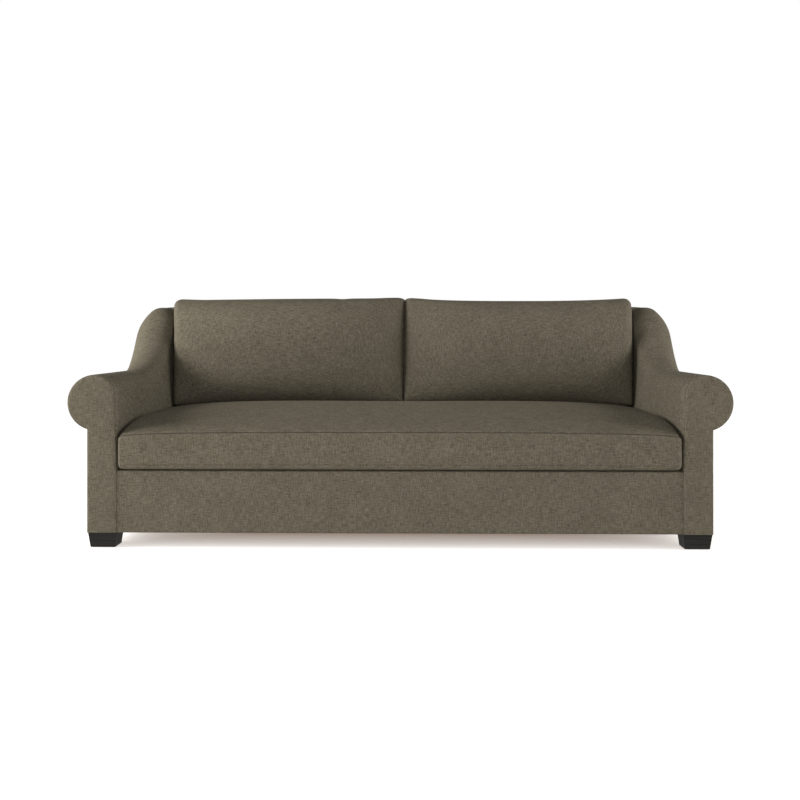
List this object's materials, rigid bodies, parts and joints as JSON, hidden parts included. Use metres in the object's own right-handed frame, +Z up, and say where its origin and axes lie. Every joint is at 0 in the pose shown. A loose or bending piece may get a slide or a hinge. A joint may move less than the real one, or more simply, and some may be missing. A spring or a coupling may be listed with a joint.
{
  "type": "rolled arm sofa",
  "caption": "Upholstered sofa with rolled arms that swoop up to the back, a loose bench seat cushion, loose back cushions and tapered block feet.",
  "frame": {"origin": "on the floor, under the middle of the sofa's outer box", "axes": "+X along the sofa, to the right of someone facing its front; +Y from its front to its back; +Z up"},
  "size_m": [2.44, 1, 0.9513],
  "materials": {
    "cover_fabric": "matte",
    "foam": "matte",
    "lining": "matte",
    "webbing": "matte",
    "frame_wood": "matte",
    "panel_wood": "matte",
    "foot_wood": "satin",
    "steel": "satin",
    "glide_plastic": "matte"
  },
  "bodies": {
    "frame": {"arm_base_rail_left": "frame_wood", "arm_base_rail_right": "frame_wood", "arm_bolts": "steel", "arm_cover_left": "cover_fabric", "arm_cover_right": "cover_fabric", "arm_facing_left": "cover_fabric", "arm_facing_right": "cover_fabric", "arm_front_board_left": "panel_wood", "arm_front_board_right": "panel_wood", "arm_inner_panel_left": "panel_wood", "arm_inner_panel_right": "panel_wood", "arm_outer_panel_left": "panel_wood", "arm_outer_panel_right": "panel_wood", "arm_padding_left": "foam", "arm_padding_right": "foam", "arm_rear_board_left": "panel_wood", "arm_rear_board_right": "panel_wood", "arm_roll_rail_left": "frame_wood", "arm_roll_rail_right": "frame_wood", "arm_tee_nuts": "steel", "back_bottom_rail": "frame_wood", "back_cover": "cover_fabric", "back_pad": "foam", "back_post_left": "frame_wood", "back_post_right": "frame_wood", "back_top_rail": "frame_wood", "back_uprights": "frame_wood", "back_webbing": "webbing", "corner_blocks": "frame_wood", "cross_rails": "frame_wood", "deck_cover": "cover_fabric", "deck_insulator": "lining", "deck_pad": "foam", "dust_cover": "lining", "foot_bolts": "steel", "foot_front_left": "foot_wood", "foot_front_right": "foot_wood", "foot_glides": "glide_plastic", "foot_rear_left": "foot_wood", "foot_rear_right": "foot_wood", "foot_tee_nuts": "steel", "frame_screws": "steel", "front_panel_cover": "cover_fabric", "front_panel_pad": "foam", "front_rail": "frame_wood", "outside_back_board": "panel_wood", "outside_back_cover": "cover_fabric", "rear_seat_rail": "frame_wood", "seat_springs": "steel", "side_rail_left": "frame_wood", "side_rail_right": "frame_wood", "spring_clips": "steel"},
    "seat_cushion": {"seat_cushion_cover": "cover_fabric", "seat_cushion_core": "foam"},
    "back_cushion_left": {"back_cushion_cover_left": "cover_fabric", "back_cushion_core_left": "foam"},
    "back_cushion_right": {"back_cushion_cover_right": "cover_fabric", "back_cushion_core_right": "foam"}
  },
  "joints": [
    {"name": "seat_cushion_slide", "type": "slide", "parent": "frame", "child": "seat_cushion", "axis": [0, -1, 0], "range_m": [0, 0.84]},
    {"name": "back_cushion_left_lift", "type": "slide", "parent": "frame", "child": "back_cushion_left", "axis": [0, -0.2588, 0.9659], "range_m": [0, 0.48]},
    {"name": "back_cushion_right_lift", "type": "slide", "parent": "frame", "child": "back_cushion_right", "axis": [0, -0.2588, 0.9659], "range_m": [0, 0.48]}
  ]
}
